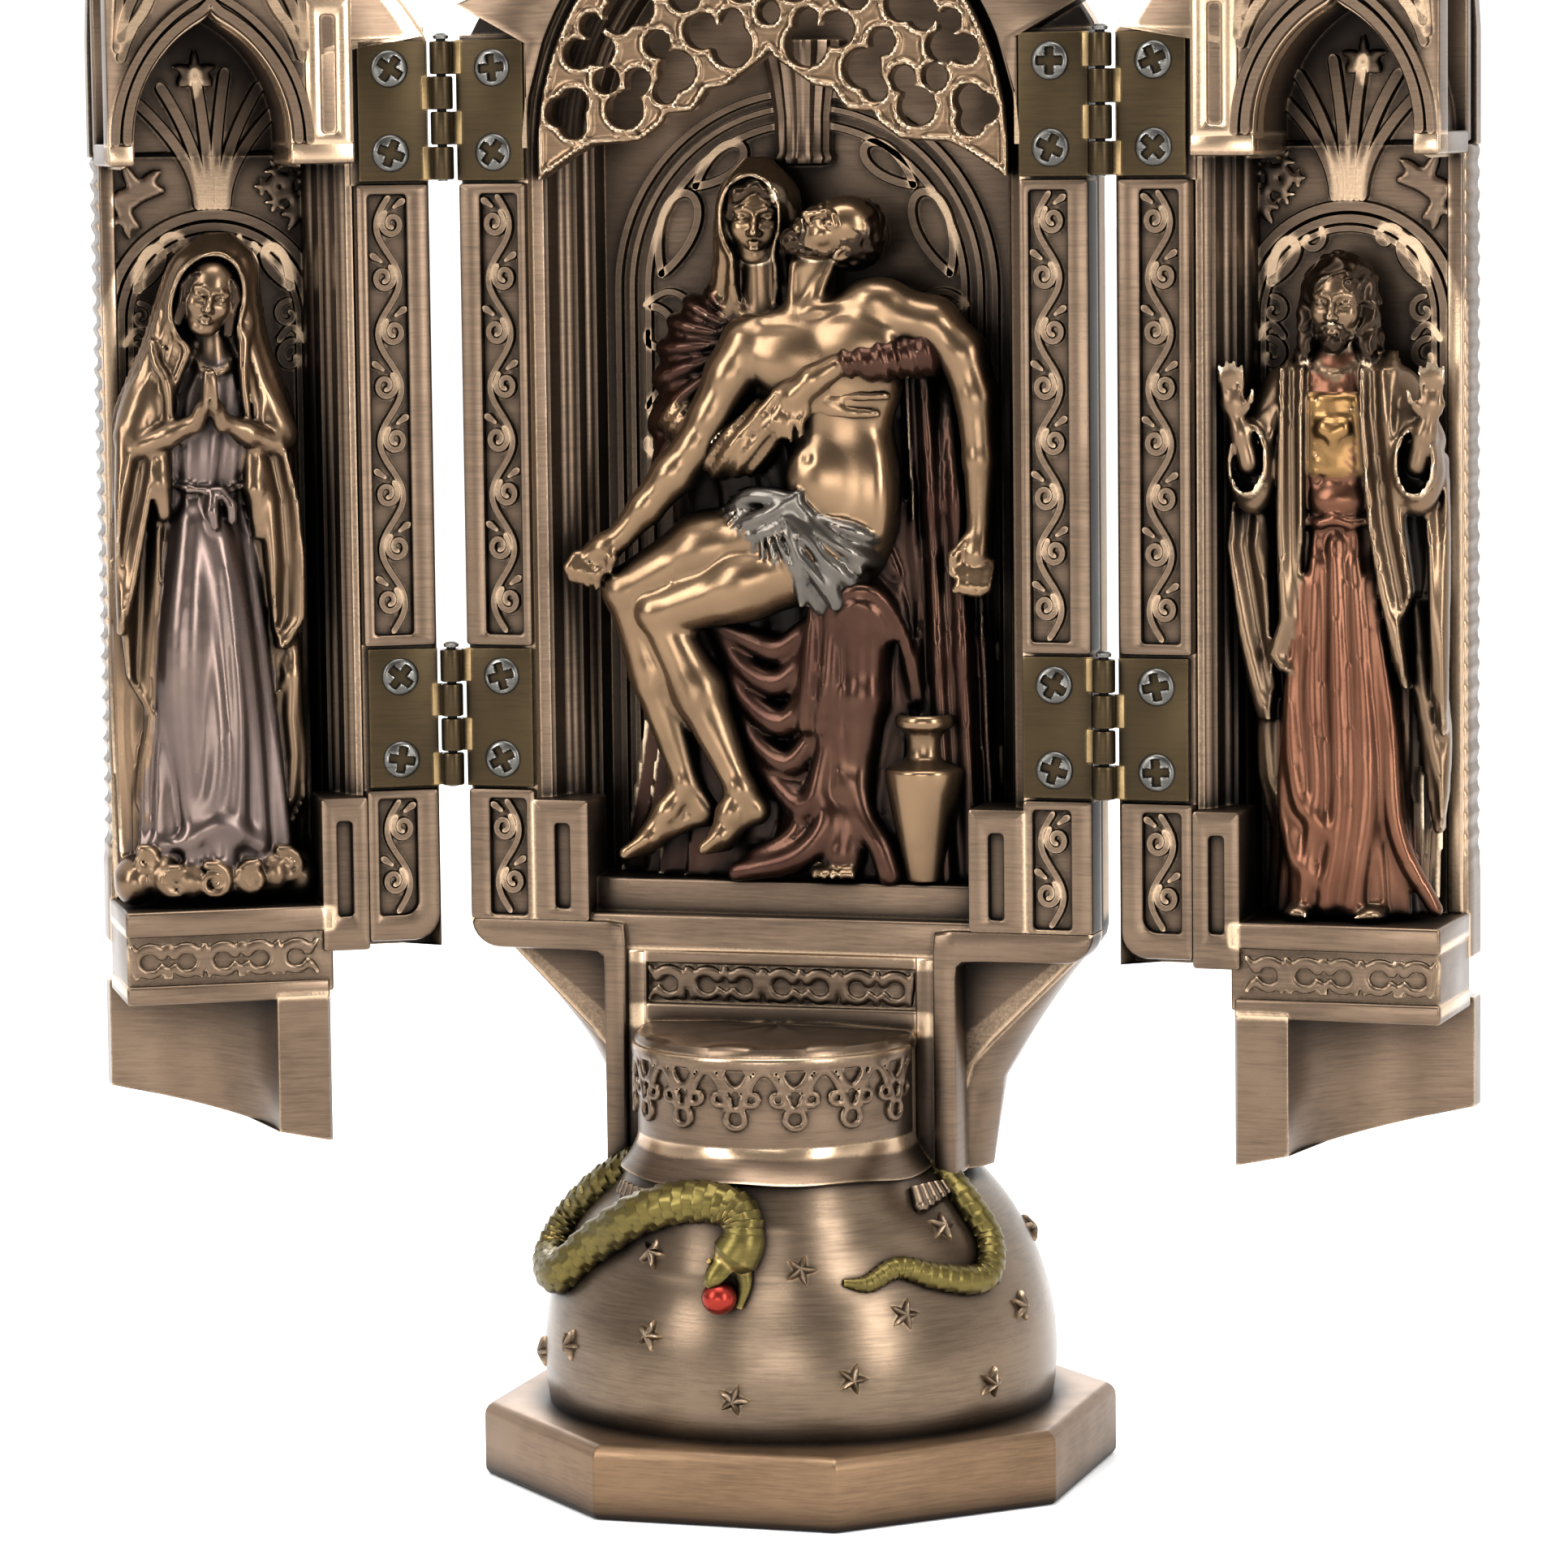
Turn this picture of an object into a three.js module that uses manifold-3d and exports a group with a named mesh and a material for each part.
// Opening shrine statue: a veiled figure on a star-strewn globe whose robe opens as two hinged wings.
// Millimetres, +Z up, front towards -Y, origin at the middle of the plinth's underside.

import * as THREE from 'three';
import { ParametricGeometry } from 'three/addons/geometries/ParametricGeometry.js';
import { mergeVertices } from 'three/addons/utils/BufferGeometryUtils.js';
import Module from 'manifold-3d';

const wasm = await Module();
wasm.setup();

// Driving dimensions
const gap = 0.3;
const plinthRadius = 36.9;
const plinthHeight = 8.5;
const plinthBevel = 1.1;
const globeRadius = 29.7;
const globeCentre = 14;
const drumRadius = 16;
const drumFoot = 39.5;
const drumTop = 52.5;
const hingeX = 38.72;
const hingeY = -8.2;
const faceOffset = 0.6;
const edgeInset = 1.6;
const shoulderHeight = 165;
const neckHeight = 191;
const frameFoot = 61.5;
const shelfTop = 68.8;
const nicheHalf = 29;
const nicheSpring = 152;
const nicheApex = 184;
const nicheBackY = 7;
const headCentre = 207;
const wingEdge = 38.2;
const wingDepth = 21;
const wingNicheDepth = 15;
const corbelTop = 66;
const lancetFoot = 151.6;
const leftWingAngle = 30;
const rightWingAngle = 2;
const hingeHeight = 16;
const hingeFeet = [79.4, 149];
const leafReach = 9.6;
const leafThickness = 0.8;
const barrelRadius = 1.3;
const pinRadius = 0.5;
const screwReach = 5.9;
const screwInset = 3.2;
const screwHeadRadius = 2.15;
const vineBands = [[64, 78], [97, 147.5]];
const vineDepth = 0.9;

// Worked-out places
const frontY = hingeY + faceOffset;
const halfWidth = hingeX - edgeInset;
const roundness = 0.8;

// Makes a closed solid of any three.js geometry: welds it, drops slivers and turns its faces outwards.
function solidOf(geometry) {
  const bare = geometry.clone();
  bare.deleteAttribute('normal');
  bare.deleteAttribute('uv');
  const welded = mergeVertices(bare, 1e-4);
  const place = welded.getAttribute('position').array;
  const corner = (index) => new THREE.Vector3().fromArray(place, 3 * index);
  const faces = [];
  let volume = 0;
  for (let i = 0; i < welded.index.count; i += 3) {
    const [a, b, c] = [0, 1, 2].map((k) => welded.index.getX(i + k));
    if (a === b || b === c || c === a) continue;
    faces.push([a, b, c]);
    volume += corner(a).dot(corner(b).cross(corner(c)));
  }
  const ordered = volume < 0 ? faces.map(([a, b, c]) => [a, c, b]) : faces;
  const mesh = new wasm.Mesh({
    numProp: 3,
    vertProperties: new Float32Array(place),
    triVerts: new Uint32Array(ordered.flat()),
  });
  return new wasm.Manifold(mesh);
}

const joined = (solids) => solids.reduce((whole, next) => whole.add(next));
const without = (solid, cutters) => cutters.reduce((rest, cutter) => rest.subtract(cutter), solid);

// A box between two corners.
function box(low, high) {
  const size = low.map((value, axis) => high[axis] - value);
  const middle = low.map((value, axis) => (high[axis] + value) / 2);
  return solidOf(new THREE.BoxGeometry(...size).translate(...middle));
}

// An outline in plan, raised from one height to another.
function prism(outline, foot, top) {
  const shape = new THREE.Shape(outline.map(([x, y]) => new THREE.Vector2(x, y)));
  const options = { depth: top - foot, bevelEnabled: false };
  return solidOf(new THREE.ExtrudeGeometry(shape, options).translate(0, 0, foot));
}

// An upright outline in x and z, with holes, given a thickness from front to back.
function plate(outline, front, back, holes = []) {
  const flat = (points) => points.map(([x, z]) => new THREE.Vector2(x, z));
  const shape = new THREE.Shape(flat(outline));
  shape.holes = holes.map((points) => new THREE.Path(flat(points)));
  const options = { depth: back - front, bevelEnabled: false };
  return solidOf(new THREE.ExtrudeGeometry(shape, options).rotateX(Math.PI / 2).translate(0, back, 0));
}

// A turned body about an upright axis, from a profile of radius and height pairs.
function turned(profile, x, y, segments, start = 0) {
  const points = profile.map(([radius, height]) => new THREE.Vector2(radius, height));
  const geometry = new THREE.LatheGeometry(points, segments, start);
  return solidOf(geometry.rotateX(Math.PI / 2).translate(x, y, 0));
}

// The middle of a ring of points.
function ringMiddle(segments, pointAt, ring) {
  const sum = new THREE.Vector3();
  for (let k = 0; k < segments; k += 1) sum.add(pointAt(ring, k));
  return sum.divideScalar(segments);
}

// A closed skin over rings of points: pointAt(ring, index) gives the corners, and the ends close to points.
function skin(rings, segments, pointAt, tips) {
  const ends = tips ?? [0, rings - 1].map((ring) => ringMiddle(segments, pointAt, ring));
  const surface = (u, v, target) => {
    const row = Math.round(v * (rings + 1));
    const index = Math.round(u * segments) % segments;
    if (row === 0) target.copy(ends[0]);
    else if (row === rings + 1) target.copy(ends[1]);
    else target.copy(pointAt(row - 1, index));
  };
  return solidOf(new ParametricGeometry(surface, segments, rings + 1));
}

// A tapering limb through its joints, with a radius at each joint and rounded ends.
function limb(joints, radii, segments = 5, steps = joints.length - 1) {
  const path = new THREE.CatmullRomCurve3(joints.map((joint) => new THREE.Vector3(...joint)));
  const frames = path.computeFrenetFrames(steps);
  const last = radii.length - 1;
  const radiusAt = (t) => {
    const k = Math.min(Math.floor(t * last), last - 1);
    return THREE.MathUtils.lerp(radii[k], radii[k + 1], t * last - k);
  };
  const tip = (step, turn) => path.getPoint(step / steps)
    .addScaledVector(frames.tangents[step], 0.7 * turn * radiusAt(step / steps));
  const around = (step, index) => {
    const angle = (2 * Math.PI * index) / segments;
    const radius = radiusAt(step / steps);
    return path.getPoint(step / steps)
      .addScaledVector(frames.normals[step], radius * Math.cos(angle))
      .addScaledVector(frames.binormals[step], radius * Math.sin(angle));
  };
  return skin(steps + 1, segments, around, [tip(0, -1), tip(steps, 1)]);
}

// An egg-shaped body, leaning about the front-to-back axis.
function egg(centre, radii, lean = 0, around = 7, down = 5) {
  const ball = new THREE.SphereGeometry(1, around, down).rotateX(Math.PI / 2).scale(...radii);
  return solidOf(ball.rotateY(THREE.MathUtils.degToRad(lean)).translate(...centre));
}

// A draped body: rows of [height, middle x, middle y, half width, half depth], with flutes of cloth.
function draped(rows, segments, flutes, fluteDepth) {
  return skin(rows.length, segments, (ring, index) => {
    const [height, x, y, halfX, halfY] = rows[ring];
    const angle = (2 * Math.PI * index) / segments;
    const swell = 1 + fluteDepth * Math.cos(flutes * angle);
    const across = halfX * swell * Math.cos(angle);
    const along = halfY * swell * Math.sin(angle);
    return new THREE.Vector3(x + across, y + along, height);
  });
}

// Turns a solid into a named mesh of its own finish.
function meshOf(name, solid, finish) {
  const { vertProperties, triVerts } = solid.getMesh();
  const geometry = new THREE.BufferGeometry();
  geometry.setAttribute('position', new THREE.BufferAttribute(new Float32Array(vertProperties), 3));
  geometry.setIndex(new THREE.BufferAttribute(new Uint32Array(triVerts), 1));
  geometry.computeVertexNormals();
  const mesh = new THREE.Mesh(geometry, new THREE.MeshStandardMaterial(finish));
  mesh.name = name;
  return mesh;
}

const agedBronze = { color: 0x77634d, roughness: 0.42, metalness: 0.85 };
const paleBronze = { color: 0x97795a, roughness: 0.45, metalness: 0.8 };
const figureBronze = { color: 0x84694c, roughness: 0.36, metalness: 0.85 };
const agedBrass = { color: 0x8a703f, roughness: 0.35, metalness: 1 };
const screwSteel = { color: 0x8d8a84, roughness: 0.4, metalness: 1 };

// Half the width of the closed figure at a height: upright sides, then shoulders sloping to the neck.
function figureHalf(height) {
  if (height <= shoulderHeight) return halfWidth;
  const climb = (height - shoulderHeight) / (neckHeight - shoulderHeight);
  return halfWidth - (halfWidth - 11.5) * climb ** 1.25;
}

// Plinth: an octagonal block with a flat to the front and a worn top edge.
function plinth() {
  const profile = [
    [0, 0],
    [plinthRadius - 0.5, 0],
    [plinthRadius, 0.5],
    [plinthRadius, plinthHeight - plinthBevel],
    [plinthRadius - plinthBevel, plinthHeight],
    [0, plinthHeight],
  ];
  return turned(profile, 0, 0, 8, Math.PI / 8);
}

// How far the globe reaches from its axis at a bearing and height, with the swell that carries the drum.
const swellProfile = [[0, 20], [20.5, 20], [20.3, 27], [19.2, 33], [17.4, 37.2], [0, 37.2]];
function globeReach(bearing, height) {
  const round = Math.sqrt(Math.max(globeRadius ** 2 - (height - globeCentre) ** 2, 0));
  const top = swellProfile.findIndex(([, level], k) => k > 1 && level >= height);
  if (height < 20 || top < 0) return round;
  const [lowRadius, lowLevel] = swellProfile[top - 1];
  const [highRadius, highLevel] = swellProfile[top];
  const swell = THREE.MathUtils.mapLinear(height, lowLevel, highLevel, lowRadius, highRadius);
  const forward = -hingeY * Math.cos(bearing);
  const side = hingeY * Math.sin(bearing);
  return Math.max(round, forward + Math.sqrt(Math.max(swell ** 2 - side ** 2, 0)));
}

// A point on the globe at a bearing in degrees, a height and a lift off the surface.
function onGlobe(bearingDegrees, height, lift) {
  const bearing = THREE.MathUtils.degToRad(bearingDegrees);
  const reach = globeReach(bearing, height) + lift;
  return [reach * Math.sin(bearing), -reach * Math.cos(bearing), height];
}

// A five-pointed star on the globe, rising to a point.
function star(bearingDegrees, height) {
  const spin = THREE.MathUtils.degToRad(bearingDegrees);
  const out = Math.asin(THREE.MathUtils.clamp((height - globeCentre) / globeRadius, -1, 1));
  const place = (across, up, lift) => new THREE.Vector3(across, -lift, up)
    .applyAxisAngle(new THREE.Vector3(1, 0, 0), -out)
    .applyAxisAngle(new THREE.Vector3(0, 0, 1), spin)
    .add(new THREE.Vector3(...onGlobe(bearingDegrees, height, 0)));
  const corner = (ring, index) => {
    const reach = index % 2 ? 0.8 : 1.8;
    const angle = (Math.PI * index) / 5;
    return place(reach * Math.sin(angle), reach * Math.cos(angle), 0.3);
  };
  return skin(1, 10, corner, [place(0, 0, -1.5), place(0, 0, 1.1)]);
}

// The dome's profile from the plinth to its top, for a given radius.
function domeProfile(radius) {
  const rows = 5;
  const foot = plinthHeight + gap;
  const low = Math.asin((foot - globeCentre) / radius);
  const curve = Array.from({ length: rows }, (_, k) => {
    const angle = THREE.MathUtils.lerp(low, Math.PI / 2, k / rows);
    return [radius * Math.cos(angle), globeCentre + radius * Math.sin(angle)];
  });
  return [[0, foot], ...curve, [0, globeCentre + radius]];
}

// Globe: the dome with its stars, the serpent crossing it, the fruit in its mouth and the toes above.
function globe() {
  const stars = [
    [-21, 29], [17, 28], [58, 31], [-19, 20], [41, 22.5], [2, 13.5], [28, 15.8], [63, 13.5],
    [-46, 17], [-70, 14], [77, 21], [-120, 20],
  ];
  const head = [[1, 27.5, 1.2], [4, 31.5, 1.2], [2, 35, 1.1], [-9, 35.6, 1], [-25, 33.3, 1], [-43, 28.9, 1]];
  const coil = [[-56, 24.5, 1], [-72, 25, 1], [-76, 29, 1], [-68, 33.5, 0.6]];
  const tail = [
    [70, 33.5, 0.8], [71, 28.8, 0.8], [64, 25.4, 0.8], [51, 26.2, 0.7], [41, 27.6, 0.5], [27, 26, 0.2],
  ];
  const alongGlobe = (route) => route.map((stop) => onGlobe(...stop));
  const serpent = [
    limb(alongGlobe([...head, ...coil]), [2.1, 1.9, 1.9, 1.9, 1.7], 5, 14),
    limb(alongGlobe(tail), [1.5, 1.4, 1.1, 0.5], 4, 7),
    egg(onGlobe(0, 26, 1.4), [2, 2, 2], 0, 7, 4),
  ];
  const toes = [-1, 1].flatMap((side) => [0, 1].map((k) => {
    const bearing = side < 0 ? -31 - 7 * k : 58 + 7 * k;
    return limb([onGlobe(bearing, 35, -1), onGlobe(bearing - 2 * side, 33, 0.8)], [1.4, 1.2], 5, 1);
  }));
  return joined([
    turned(domeProfile(globeRadius), 0, 0, 16),
    turned(swellProfile, 0, hingeY, 12),
    ...stars.map((place) => star(...place)),
    ...serpent,
    ...toes,
  ]);
}

// A stem that swings from side to side in a sunk band of a face at y.
function vine(x, y, [foot, top]) {
  const stem = 0.8;
  const swing = 1.3;
  const bends = Math.round((top - foot) / 5);
  const joints = Array.from({ length: bends + 1 }, (_, k) => [
    x + swing * (k % 2 ? 1 : -1),
    y + vineDepth - 0.2,
    THREE.MathUtils.lerp(foot + stem, top - stem, k / bends),
  ]);
  return limb(joints, [stem, stem], 3);
}

// A row of open rings on a band, the interlaced ornament under a shelf.
function ringBand(fromX, toX, y, height, count) {
  const pitch = (toX - fromX) / count;
  const around = (radius) => Array.from({ length: 6 }, (_, k) => [
    radius * 1.1 * Math.cos((Math.PI * k) / 3),
    radius * Math.sin((Math.PI * k) / 3),
  ]);
  return Array.from({ length: count }, (_, k) => {
    const middle = fromX + (k + 0.5) * pitch;
    const shifted = (radius) => around(radius).map(([x, z]) => [middle + x, height + z]);
    return plate(shifted(pitch * 0.47), y - 0.8, y + 0.3, [shifted(pitch * 0.26)]);
  });
}

// A half ring of round rib on an upright wall.
function archRib(x, y, spring, radius, rib) {
  const joints = Array.from({ length: 7 }, (_, k) => [
    x - radius * Math.cos((Math.PI * k) / 6),
    y,
    spring + radius * Math.sin((Math.PI * k) / 6),
  ]);
  return limb(joints, [rib, rib], 3);
}

// The pocket that a hinge leaf lies in, reaching from the axis to one side.
function hingeSeat(direction, foot) {
  const ends = [edgeInset - gap, leafReach + gap].map((value) => direction * value);
  const floor = faceOffset + leafThickness + gap;
  return box([Math.min(...ends), -2, foot - gap], [Math.max(...ends), floor, foot + hingeHeight + gap]);
}

// The room inside the niche, splayed in steps from the mating face to the back wall and round-headed.
function nicheRoom(inset) {
  const archSteps = 8;
  const jambs = [[-12, 29], [-5.5, 29], [-5.4, 27.6], [-1, 27.2], [-0.9, 26], [nicheBackY - inset, 24]];
  return skin(jambs.length, archSteps + 3, (ring, index) => {
    const [y, open] = jambs[ring];
    const half = open - inset;
    if (index < 2) return new THREE.Vector3(index ? half : -half, y, shelfTop + inset);
    const angle = (Math.PI * (index - 2)) / archSteps;
    const rise = (nicheApex - nicheSpring) * (half / nicheHalf);
    return new THREE.Vector3(half * Math.cos(angle), y, nicheSpring + rise * Math.sin(angle));
  });
}

// Shrine: frame, niche, shelf, drum and collar, robe back, shoulders and the veiled head, all one casting.
function shrine() {
  const shoulderLevels = [shoulderHeight, 172, 179, 185, neckHeight];
  const robeDepth = 16.5;
  const shoulders = shoulderLevels.map((z) => [z, figureHalf(z), robeDepth - (z - shoulderHeight) * 0.25]);
  const skirts = [[36, 21, 11], [44, 24, 12.5], [52, 30, 14.5], [60, 36, 16]];
  const sides = [66, 110, 150].map((z) => [z, halfWidth, robeDepth]);
  const levels = [...skirts, ...sides, ...shoulders];
  const robeFront = frontY + 5;
  const arcSteps = 12;
  const robe = skin(levels.length, arcSteps + 1, (ring, index) => {
    const [height, half, depth] = levels[ring];
    const angle = (Math.PI * index) / arcSteps;
    const fold = index % 2 ? 1 - 0.05 * Math.sin(angle) : 1;
    const across = Math.sign(Math.cos(angle)) * Math.abs(Math.cos(angle)) ** roundness;
    return new THREE.Vector3(half * across, robeFront + depth * fold * Math.sin(angle) ** roundness, height);
  });

  const outerSide = shoulderLevels.map((z) => [figureHalf(z), z]);
  const corner = [0, 1, 2].map((k) => {
    const angle = (Math.PI * k) / 4;
    return [halfWidth - 3 * (1 - Math.sin(angle)), frameFoot + 3 * (1 - Math.cos(angle))];
  });
  const rightSide = [[17, 36], [21, 36], [21, frameFoot], ...corner, ...outerSide];
  const leftSide = rightSide.map(([x, z]) => [-x, z]).reverse();
  const frame = plate([...rightSide, ...leftSide], frontY, robeFront + 0.5);

  const niche = nicheRoom(0);
  const mirrored = (build) => [-1, 1].map((side) => build(side));
  const ordered = (side, a, b) => (side > 0 ? [a, b] : [-b, -a]);
  const buttress = mirrored((side) => {
    const [low, high] = ordered(side, 22.5, 29.5);
    const [slotLow, slotHigh] = ordered(side, 25, 26.6);
    const block = box([low, frontY, frameFoot], [high, -1, 78]);
    return block.subtract(box([slotLow, frontY - 1, 65], [slotHigh, frontY + 1.2, 75]));
  });
  const vinePanels = mirrored((side) => {
    const [low, high] = ordered(side, 30.3, 34.5);
    const floor = frontY + vineDepth;
    return joined(vineBands.map(([foot, top]) => box([low, frontY - 1, foot], [high, floor, top])));
  });
  const vines = mirrored((side) => joined(vineBands.map((band) => vine(side * 32.4, frontY, band))));
  const seats = mirrored((side) => joined(hingeFeet.map((foot) => hingeSeat(-side, foot)))
    .translate([side * hingeX, hingeY, 0]));

  const shelf = [
    box([-24, -3, 59.5], [24, 8, shelfTop]),
    box([-23, -5, 60.5], [23, 0, 65]),
    box([-18, -2, 36], [18, 5, 60]),
    ...ringBand(-16.8, 16.8, -2, 56.8, 5),
  ];
  const drumProfile = [[0, 37.3], [18.4, 37.3], [16.2, drumFoot], [drumRadius, drumTop], [0, drumTop]];
  const drum = turned(drumProfile, 0, hingeY, 16);
  const drumBack = box([-drumRadius, hingeY, 36], [drumRadius, 2, drumTop]);
  const laceFoot = 47.2;
  const lace = Array.from({ length: 7 }, (_, k) => {
    const bearing = ((k - 3) * 26 * Math.PI) / 180;
    const reach = drumRadius - 0.7;
    const middle = [reach * Math.sin(bearing), hingeY - reach * Math.cos(bearing), laceFoot - 0.6];
    return egg(middle, [1.5, 1.5, 2.2], 0, 5, 3);
  });
  const laceReach = drumRadius + 0.4;
  const laceTop = laceFoot + 2.4;
  const laceProfile = [[0, laceFoot], [laceReach, laceFoot], [laceReach, laceTop], [0, laceTop]];
  const laceBand = turned(laceProfile, 0, hingeY, 16);
  const bowl = globeRadius + gap;
  const globeRoom = turned(domeProfile(bowl), 0, 0, 16);
  const swellRoom = turned(swellProfile.map(([r, z]) => [r && r + gap, z > 37 ? z + gap : z]), 0, hingeY, 12);

  const wallRibs = [22.4, 18.6].map((radius) => archRib(0, nicheBackY, 136, radius, 0.8));
  const neck = limb([[0, 1, 188], [0, 0, 195], [0, -0.5, 200]], [8, 7, 7], 8);
  const veil = draped([[190, 0, 1.5, 13, 10.5], [196, 0, 1, 11.4, 10.5], [203, 0, 0.6, 11.4, 11.2],
    [211, 0, 0.6, 10.8, 11], [217, 0, 1, 8.6, 9], [221, 0, 1.4, 4.6, 5]], 12, 6, 0.03);
  const veilOpening = egg([0, -11, 206], [6.6, 6, 9.6]);
  const face = egg([0, -4.2, headCentre - 1.5], [6.2, 7, 8.8]);

  const lowerRecess = box([-17, frontY - 1, 30], [17, -2, frameFoot]);
  const body = without(joined([robe, frame]), [niche, lowerRecess]);
  const dressed = joined([body, ...buttress, ...shelf, drumBack, drum, laceBand, ...lace, ...wallRibs]);
  const carved = without(dressed, [...vinePanels, ...seats, globeRoom, swellRoom]);
  return joined([carved, ...vines, veil.subtract(veilOpening), neck, face]);
}

// A trefoil outline for a piercing.
function trefoil(x, z, size, turn) {
  return Array.from({ length: 9 }, (_, k) => {
    const angle = (2 * Math.PI * k) / 9;
    const reach = size * (1 + 0.34 * Math.cos(3 * angle));
    return [x + reach * Math.cos(angle + turn), z + reach * Math.sin(angle + turn)];
  });
}

// Tracery canopy: a pierced pointed screen across the head of the niche.
function traceryCanopy() {
  const half = nicheHalf - 1.2;
  const rise = (nicheApex - nicheSpring) * (half / nicheHalf);
  const over = Array.from({ length: 15 }, (_, k) => {
    const angle = (Math.PI * k) / 14;
    return [half * Math.cos(angle), nicheSpring + rise * Math.sin(angle)];
  });
  const cusps = [
    [-half, 148.8], [-26, 150], [-23, 151.5], [-19.5, 152.6], [-15.5, 155], [-11.5, 156.6], [-8, 160],
    [-4, 160.6], [-1.2, 163],
  ];
  const under = [...cusps, [0, 166], ...cusps.map(([x, z]) => [-x, z]).reverse()];
  const holes = [-1, 1].flatMap((side) => [
    trefoil(side * 23.6, 155.6, 1.9, Math.PI / 2),
    trefoil(side * 18, 158.4, 2, side * 0.6),
    trefoil(side * 12.6, 162, 2.5, side * 0.9),
    trefoil(side * 20.6, 164.4, 2.2, side * 2.2),
    trefoil(side * 14.5, 170.5, 3, side * 0.4),
  ]);
  return plate([...over, ...under], -7.2, -5.8, [...holes, trefoil(0, 176.5, 3.4, Math.PI / 2)]);
}

// Seated mother with her dead son across her knees, drapery round them and a jar beside.
function pietaGroup() {
  const floor = shelfTop + gap;
  const back = nicheBackY - 1.2;
  const cloaked = [
    [150.4, -5, 1.2, 2.4, 2.6], [147.5, -5, 1.2, 4.9, 4.4], [141, -5, 1.6, 5.6, 4.6],
    [136, -4.4, 2.2, 6.6, 4], [131, -1, 2.6, 12, 4.2], [121, 1, 2.4, 13.5, 4.8], [108, 4, 2, 15, 5.4],
    [98, 5, 1.6, 15.5, 5.6], [86, 1, 1.6, 18.4, 5], [floor, 0.4, 1.6, 20, 5],
  ];
  const mother = [
    draped(cloaked, 14, 7, 0.04),
    egg([-4.9, -1.2, 144.2], [3.7, 3.9, 5.2]),
    limb([[10.4, 3, 135], [17.6, 0, 127], [7.4, -4.6, 128], [3.4, -5.4, 122.4]], [4, 3.6, 2.6, 1.4]),
    limb([[-12.4, 2, 129], [-9, -1.6, 119.4], [2.6, -4.6, 117.8]], [4, 3.8, 2.4]),
    limb([[4.4, 1, 104], [9.1, -2.6, 99.5], [7.4, -2.6, 80], [5.6, -4.2, 71]], [6, 5.4, 4.4, 1.9], 7),
    limb([[10, 1, 103], [19, 3.4, 98], [19.4, 4, 83], [19.4, 4, floor + 2]], [4, 3.4, 3, 3]),
  ];
  const festoons = [[95, 2.6], [87, 4]].map(([height, drop]) => limb([[-11, -1.6, height + 1],
    [-4, -3.2, height - drop], [4, -3, height - drop], [8, -2.6, height + 2]], [1.3, 1.5, 1.3], 5));
  const torso = [
    [106, 3.6, -2.2, 7.4, 4.2], [112, 3.8, -2.4, 7, 4.2], [118, 4.1, -2.6, 7.2, 4.1],
    [124, 4.3, -2.4, 8.3, 4.4], [130, 4.7, -2, 9.4, 4.2], [133.6, 4.6, -1.7, 7.4, 3.4],
    [136, 4, -1.5, 2.8, 2.6],
  ];
  const hangingArm = [
    [14, -1, 133], [20.5, -0.6, 130], [22.6, -0.6, 124], [22.8, -1, 109.4], [21.8, -1, 104],
  ];
  const son = [
    draped(torso, 10, 2, 0.02),
    limb([[3.8, -1.5, 134], [5, -1.5, 138.5]], [2.6, 2.3]),
    egg([6.4, -1.6, 142.4], [4.2, 4.2, 5.2], 24),
    limb([[-4.6, -2.6, 130], [-10, -3.8, 118.4], [-19, -4.4, 108.4], [-24, -4.6, 105.2]], [3, 2.5, 1.7, 1.5]),
    limb(hangingArm, [3, 2.6, 2.2, 1.6, 1.4]),
    limb([[-1, -2.6, 108.4], [-19, -4, 102.3]], [4.4, 3.2]),
    limb([[-19, -4, 102.3], [-15.4, -3.4, 92], [-11.9, -3.2, 80.2], [-10.4, -3, 76.6]], [3.1, 2.8, 1.8, 1.9]),
    limb([[-10.6, -3, 76.4], [-15.5, -3.8, 73.2], [-20, -5, 70.8]], [1.9, 1.6, 1], 6),
    limb([[6, -2.8, 106.6], [-15.4, -4.6, 99.4]], [4.6, 3.2]),
    limb([[-15.4, -4.6, 99.4], [-10, -4, 90], [-4.4, -3.8, 80], [-3.6, -3.6, 77.2]], [3.1, 2.9, 1.8, 1.9]),
    limb([[-3.8, -3.6, 77.2], [-6.6, -4.6, 74.6], [-9.6, -5.4, 72.2]], [1.9, 1.6, 1], 6),
    limb([[-3, -3.2, 110.4], [3, -3.4, 107.4], [8.6, -3, 103.6]], [4.9, 5, 4.2], 8),
    limb([[1, -6, 112.2], [-1.6, -6.2, 110]], [1.6, 1.2], 6),
  ];
  const jarProfile = [
    [0, floor], [2.9, floor], [3.4, 72], [4.7, 78.4], [4.6, 80.6], [2.4, 83.4], [2.4, 85.4], [3.3, 88],
    [0, 88],
  ];
  const jar = turned(jarProfile, 16.1, -3, 9);
  const front = box([-40, frontY + gap, floor], [40, back, nicheApex]);
  return joined([...mother, ...festoons, ...son, jar]).intersect(front).intersect(nicheRoom(gap));
}

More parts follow.
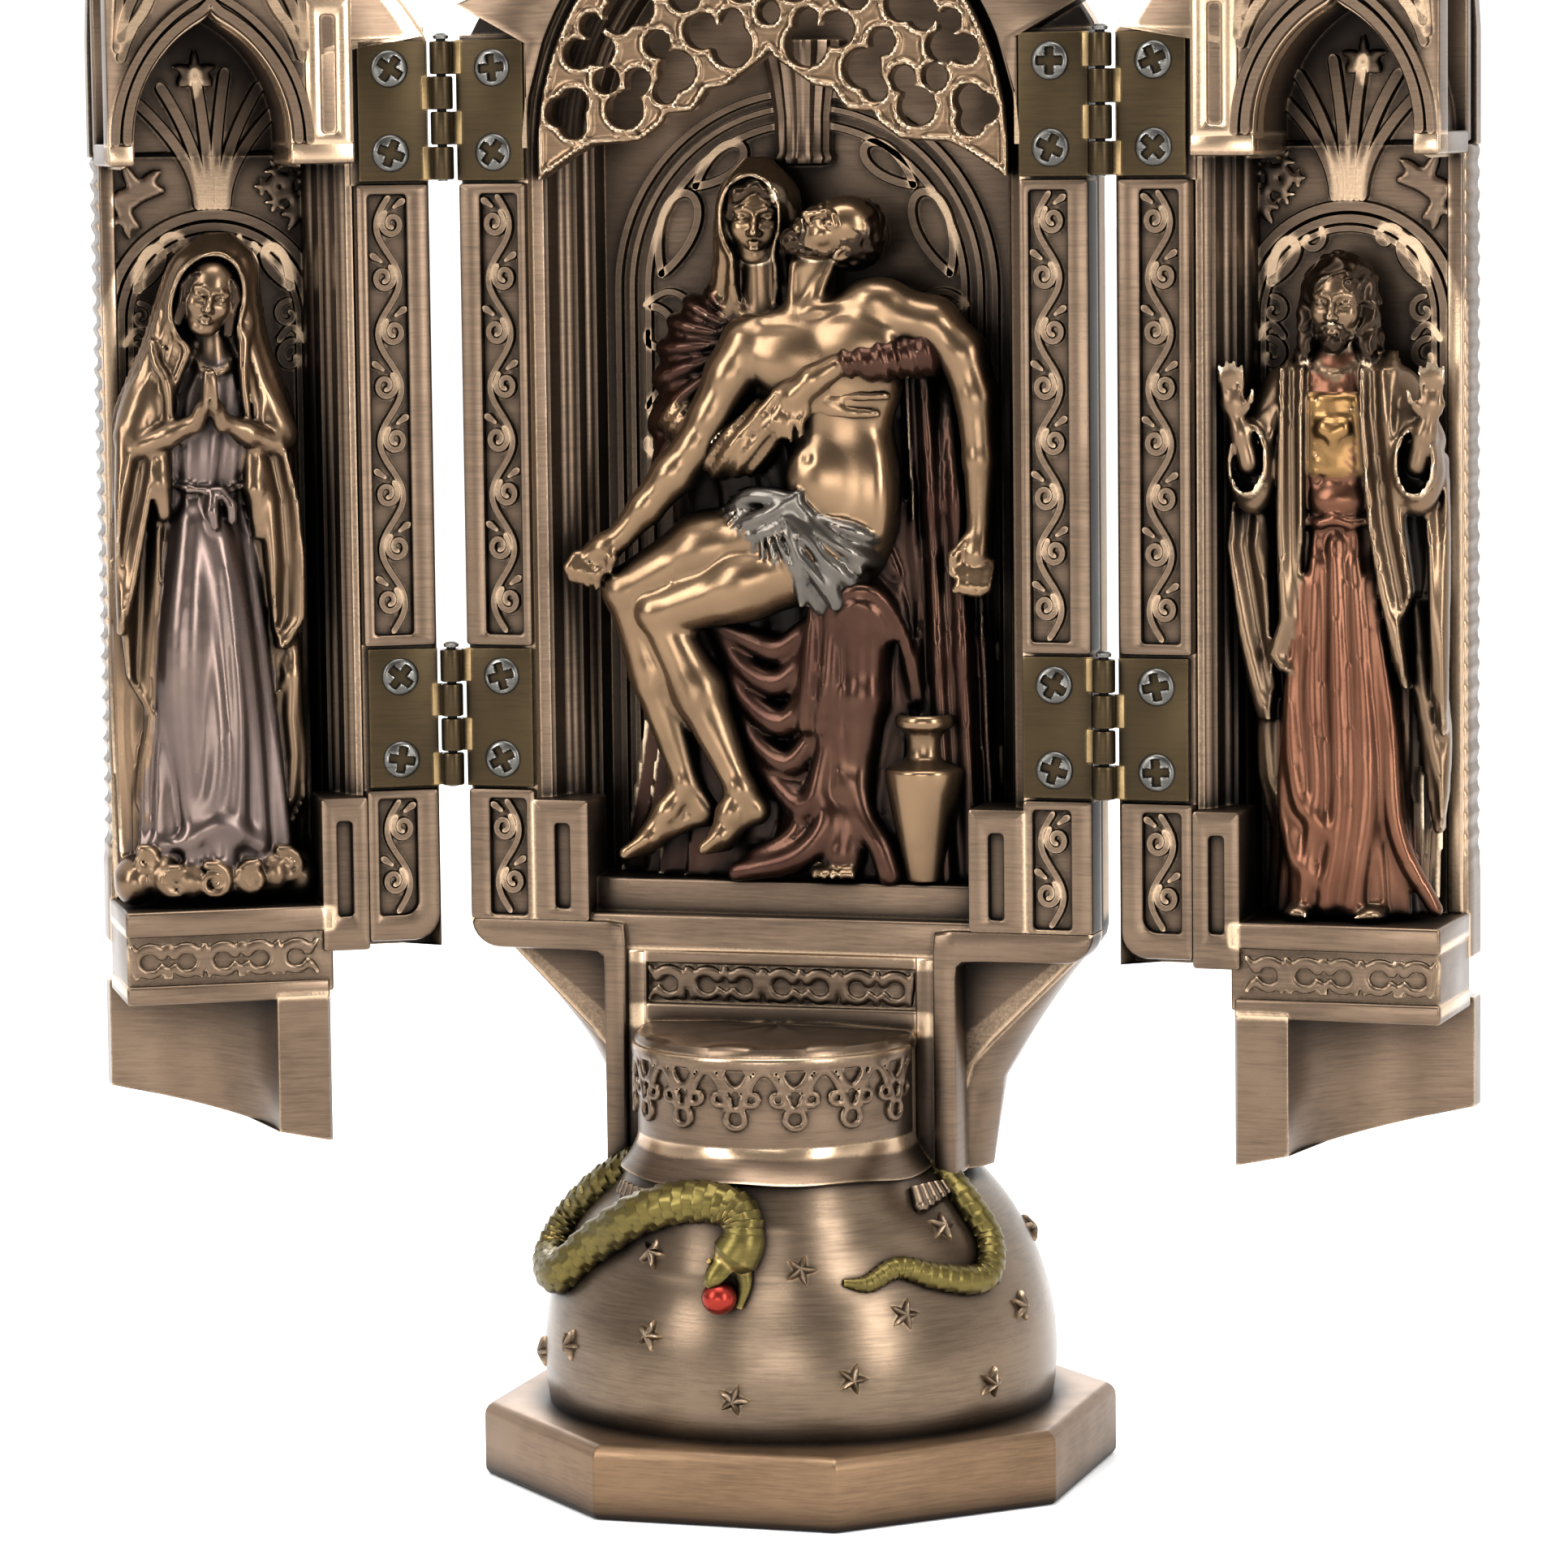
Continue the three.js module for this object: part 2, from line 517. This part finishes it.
// A wing's casting on its own axis: u runs from the hinge to the free edge, w behind the mating face.
function wing(side) {
  const place = (u, w, z) => new THREE.Vector3(side * u, w, z);
  const flat = (points) => points.map(([u, w]) => [side * u, w]);
  const block = (low, high) => {
    const ends = [side * low[0], side * high[0]].sort((a, b) => a - b);
    return box([ends[0], low[1], low[2]], [ends[1], high[1], high[2]]);
  };
  const arcSteps = 12;
  const depth = wingDepth - faceOffset;
  const arcPoint = (half, reach, index, z, fold) => {
    const angle = (Math.PI / 2) * (index / arcSteps);
    const u = Math.min(hingeX - half * Math.cos(angle) ** roundness, wingEdge);
    const ripple = index % 2 ? fold * Math.sin(2 * angle) : 0;
    return place(u, faceOffset + reach * Math.sin(angle) ** roundness - ripple, z);
  };
  const levels = [frameFoot - 1, 66, 120, 165, 172, 179, 185, 190];
  const robe = skin(levels.length, arcSteps + 2, (ring, index) => {
    const z = levels[ring];
    const half = figureHalf(z) - (ring === 0 ? 2.5 : 0);
    const reach = depth - Math.max(z - shoulderHeight, 0) * 0.3;
    if (index > arcSteps) return place(wingEdge, faceOffset, z);
    return arcPoint(half, reach, index, z, 1.1);
  });
  const tailPlan = [
    [14.7, 0], [14.7, 16.6], [20, 18.4], [27, 19.6], [33, 20.2], [wingEdge, 20.4], [wingEdge, 0],
  ];
  const tail = skin(2, tailPlan.length, (ring, index) => {
    const [u, w] = tailPlan[index];
    const slant = ((u - tailPlan[0][0]) / (wingEdge - tailPlan[0][0])) * 5;
    return place(u, faceOffset + w, ring ? frameFoot + 1 : 38.5 + slant);
  });
  const drumReach = drumRadius + 1.8;
  const drumRoom = turned([[0, 30], [drumReach, 30], [drumReach, 55.5], [0, 55.5]], side * hingeX, 0, 28);

  const nichePlan = [[10.2, -2], [10.2, 2.6], [11.6, 2.7], [11.6, 7], [13, 7.1], [14, wingNicheDepth],
    [50, wingNicheDepth], [50, -2]];
  const niche = prism(flat(nichePlan), corbelTop, lancetFoot);
  const lancetMiddle = 26.3;
  const lancetHalf = 8.9;
  const lancetSide = Array.from({ length: 6 }, (_, k) => {
    const angle = (k / 5) * 1.1;
    return [lancetMiddle + lancetHalf - 14.5 * (1 - Math.cos(angle)), 154 + 14.5 * Math.sin(angle)];
  });
  const lancetRight = [[lancetMiddle + lancetHalf, lancetFoot - 1], ...lancetSide, [lancetMiddle, 169]];
  const lancetLeft = lancetRight.slice(0, -1).map(([u, z]) => [2 * lancetMiddle - u, z]).reverse();
  const lancet = plate(flat([...lancetRight, ...lancetLeft]), -2, wingNicheDepth);
  const hood = [-1, 1].map((turn) => limb(lancetRight.map(([u, z]) => {
    const across = lancetMiddle + turn * (u - lancetMiddle + 1);
    return [side * across, faceOffset + 0.2, z + 1.2];
  }), [0.7, 0.7], 3, 5));

  const buttress = block([10, faceOffset, frameFoot - 1], [15.3, 8, 78.4]);
  const slot = block([11.9, faceOffset - 1, 65], [13.4, faceOffset + 1.2, 75.4]);
  const gableSlot = block([12.2, faceOffset - 1, 153.6], [13.6, faceOffset + 1.2, 167]);
  const panels = vineBands.map(([foot, top]) => {
    return block([4.2, faceOffset - 1, foot], [8.6, faceOffset + vineDepth, top]);
  });
  const vines = vineBands.map((band) => vine(side * 6.4, faceOffset, band));
  const wallMiddle = 24.6;
  const ribs = [13.2, 11].map((radius) => archRib(side * wallMiddle, wingNicheDepth, 133, radius, 0.8));
  const stemShape = [[0, 146], [2, 152], [5.5, 157]];
  const stem = [-1, 1].map((lean) => {
    const joints = stemShape.map(([out, z]) => [side * (wallMiddle + out * lean), wingNicheDepth, z]);
    return limb(joints, [0.8, 0.7], 3, 2);
  });
  const bandEnds = [side * 18.4, side * 37.4].sort((a, b) => a - b);
  const band = ringBand(bandEnds[0], bandEnds[1], faceOffset + 0.6, 60.2, 3);
  const bandPanel = block([18.4, faceOffset - 1, 57.6], [37.4, faceOffset + 0.5, 62.8]);
  const seats = hingeFeet.map((foot) => hingeSeat(side, foot));

  const shell = joined([robe, tail]);
  const hollow = without(shell, [niche, lancet, drumRoom]);
  const carved = without(joined([hollow, buttress]), [slot, gableSlot, bandPanel, ...panels, ...seats]);
  return joined([carved, ...vines, ...ribs, ...stem, ...hood, ...band]);
}

// The room a wing's figure may fill: in front of the back wall, above the corbel and inside the free edge.
function figureRoom(side) {
  const ends = [side * 15.6, side * wingEdge].sort((a, b) => a - b);
  return box([ends[0], faceOffset + 0.6, corbelTop + gap], [ends[1], wingNicheDepth - 1.1, lancetFoot - 1]);
}

// A praying woman in a long dress and mantle, standing on curled clouds.
function prayingVirgin(side) {
  const at = (u, w, z) => [side * u, w, z];
  const rows = (list) => list.map(([z, u, w, half, deep]) => [z, side * u, w, half, deep]);
  const dress = rows([
    [127, 26, 11, 4.2, 3.4], [119, 26.5, 10.4, 6.4, 4.8], [111, 27, 10.2, 5, 4.4], [98, 27, 10, 6.4, 5],
    [84, 27, 9.8, 7.2, 5.2], [70.6, 26.8, 9.6, 8, 5.6],
  ]);
  const mantle = rows([
    [143, 26, 12, 2.6, 3], [139.5, 26, 11.6, 5.4, 4.4], [133, 25.8, 11.8, 6.2, 4.4],
    [127, 25.8, 12.4, 8.6, 3.6], [117, 26.4, 12.8, 10.4, 3.2], [100, 25.8, 13.2, 11, 2.8],
    [84, 26, 13.4, 10.8, 2.4], [71, 26.2, 13.4, 8.6, 2.2],
  ]);
  const clouds = [18, 22.4, 27, 31.4, 35.4].map((u, k) => {
    const raised = k % 2;
    return egg(at(u, 9.6 - raised, 69 + 0.8 * raised), [3.1, 4.6, 3.9], 0, 6, 3);
  });
  return joined([
    draped(dress, 10, 5, 0.08),
    draped(mantle, 10, 5, 0.05),
    egg(at(26, 8.6, 137.4), [3.8, 4, 5], side * 12),
    limb([at(19.8, 11.4, 125), at(18.8, 9.4, 119.4), at(26.8, 6, 119)], [2.6, 2.8, 1.4]),
    limb([at(32.4, 11.4, 125), at(34, 9.4, 119.4), at(28.4, 6, 119)], [2.6, 2.8, 1.4]),
    limb([at(27.5, 5.6, 118.4), at(27.7, 5, 124.4)], [1.7, 0.9], 6),
    ...clouds,
  ]).intersect(figureRoom(side));
}

// A bearded man with both hands raised, in a long robe and an open mantle.
function blessingChrist(side) {
  const at = (u, w, z) => [side * u, w, z];
  const rows = (list) => list.map(([z, u, w, half, deep]) => [z, side * u, w, half, deep]);
  const middle = 25;
  const robe = rows([
    [127.5, middle, 10.6, 3.6, 3], [123, middle, 10.2, 6.6, 4.4], [111, 25.2, 9.8, 5.6, 4.6],
    [96, 25.2, 9.6, 6.4, 5], [80, 25.4, 9.4, 7.6, 5.2], [68.4, 25.6, 9.2, 9.2, 5.6],
  ]);
  const hair = rows([
    [127, middle, 11.4, 4.6, 2.8], [132, middle, 11, 5.2, 3.6], [138, middle, 10.6, 4.4, 4],
    [140, middle, 10.2, 2, 2.4],
  ]);
  const pairs = [-1, 1].flatMap((turn) => {
    const out = (reach) => middle + reach * turn;
    const cloak = rows([
      [126.6, out(5), 11.4, 2.6, 2.6], [116, out(8.4), 11, 3.6, 3.2], [104, out(9.5), 11.6, 3, 2.6],
      [90, out(10), 12, 2.8, 2.4], [77, out(9.8), 12.4, 1.6, 1.8],
    ]);
    const sleeve = [at(out(6), 11, 124), at(out(10), 10, 114.4), at(out(11.4), 7.4, 121)];
    const hand = [at(out(11.4), 7.2, 121), at(out(11.6), 7, 127.4)];
    const foot = [at(out(5) + 1, 8, 68), at(out(6) + 1, 4.4, 67.4)];
    return [
      draped(cloak, 8, 4, 0.1),
      limb(sleeve, [2.6, 3, 1.8]),
      limb(hand, [1.4, 0.9], 6),
      limb(foot, [1.6, 1.2], 6),
    ];
  });
  return joined([
    draped(robe, 10, 5, 0.08),
    ...pairs,
    egg(at(middle, 8.8, 134.6), [3.7, 4, 5.2]),
    draped(hair, 8, 4, 0.05),
    egg(at(25.4, 5.6, 119.6), [1.5, 0.9, 1.8], 0, 6, 3),
  ]).intersect(figureRoom(side));
}

// A hinge leaf on the hinge axis, reaching to one side, with every second knuckle of the barrel.
function hingeLeaf(direction, foot, firstKnuckle) {
  const span = (from, to) => [direction * from, direction * to].sort((a, b) => a - b);
  const [low, high] = span(barrelRadius + 0.25, leafReach);
  const sheet = box([low, faceOffset, foot], [high, faceOffset + leafThickness, foot + hingeHeight]);
  const pitch = hingeHeight / 4;
  const knuckles = [firstKnuckle, firstKnuckle + 2].map((k) => {
    const start = foot + k * pitch + 0.1;
    const [tabLow, tabHigh] = span(0, barrelRadius + 0.5);
    const length = pitch - 0.2;
    const tab = box([tabLow, faceOffset, start], [tabHigh, faceOffset + leafThickness - 0.1, start + length]);
    const barrel = new THREE.CylinderGeometry(barrelRadius, barrelRadius, length, 7).rotateX(Math.PI / 2);
    return tab.add(solidOf(barrel.translate(0, 0, start + length / 2)));
  });
  const bore = new THREE.CylinderGeometry(0.78, 0.78, hingeHeight + 2, 5).rotateX(Math.PI / 2);
  return joined([sheet, ...knuckles]).subtract(solidOf(bore.translate(0, 0, foot + hingeHeight / 2)));
}

// The pin through a hinge, with a small head above the barrel.
function hingePin(foot) {
  const top = foot + hingeHeight;
  const headFoot = top + 0.2;
  const headTop = top + 0.8;
  const headRadius = 0.9;
  const shank = [[0, foot], [pinRadius, foot], [pinRadius, headFoot]];
  return turned([...shank, [headRadius, headFoot], [headRadius, headTop], [0, headTop]], 0, 0, 5);
}

const screwHeights = (foot) => [foot + screwInset, foot + hingeHeight - screwInset];

// The shallow domed head of a screw that holds a leaf down.
function screw(direction, height) {
  const face = faceOffset - 0.05;
  const top = faceOffset - 0.5;
  const profile = [[0, face], [screwHeadRadius, face], [screwHeadRadius - 0.6, top], [0, top]];
  const points = profile.map(([radius, depth]) => new THREE.Vector2(radius, depth));
  return solidOf(new THREE.LatheGeometry(points, 7).translate(direction * screwReach, 0, height));
}

// Assembly
const statue = new THREE.Group();
statue.add(meshOf('plinth', plinth(), paleBronze));
statue.add(meshOf('globe', globe(), agedBronze));
statue.add(meshOf('shrine', shrine(), agedBronze));
statue.add(meshOf('pieta_group', pietaGroup(), figureBronze));
statue.add(meshOf('tracery_canopy', traceryCanopy(), paleBronze));

const wings = [
  { name: 'left', side: -1, angle: leftWingAngle, figure: 'praying_virgin', makeFigure: prayingVirgin },
  { name: 'right', side: 1, angle: rightWingAngle, figure: 'blessing_christ', makeFigure: blessingChrist },
];
for (const { name, side, angle, figure, makeFigure } of wings) {
  const centreMount = new THREE.Group();
  const wingMount = new THREE.Group();
  for (const mount of [centreMount, wingMount]) mount.position.set(side * hingeX, hingeY, 0);
  wingMount.rotation.z = -side * THREE.MathUtils.degToRad(angle);
  wingMount.add(meshOf(`${name}_wing`, wing(side), agedBronze));
  wingMount.add(meshOf(figure, makeFigure(side), figureBronze));
  hingeFeet.forEach((foot, k) => {
    const level = ['lower', 'upper'][k];
    centreMount.add(meshOf(`${name}_${level}_hinge_centre_leaf`, hingeLeaf(-side, foot, 1), agedBrass));
    wingMount.add(meshOf(`${name}_${level}_hinge_wing_leaf`, hingeLeaf(side, foot, 0), agedBrass));
    centreMount.add(meshOf(`${name}_${level}_hinge_pin`, hingePin(foot), screwSteel));
    screwHeights(foot).forEach((height, row) => {
      const end = ['bottom', 'top'][row];
      centreMount.add(meshOf(`${name}_${level}_centre_screw_${end}`, screw(-side, height), screwSteel));
      wingMount.add(meshOf(`${name}_${level}_wing_screw_${end}`, screw(side, height), screwSteel));
    });
  });
  statue.add(centreMount, wingMount);
}

export default statue;
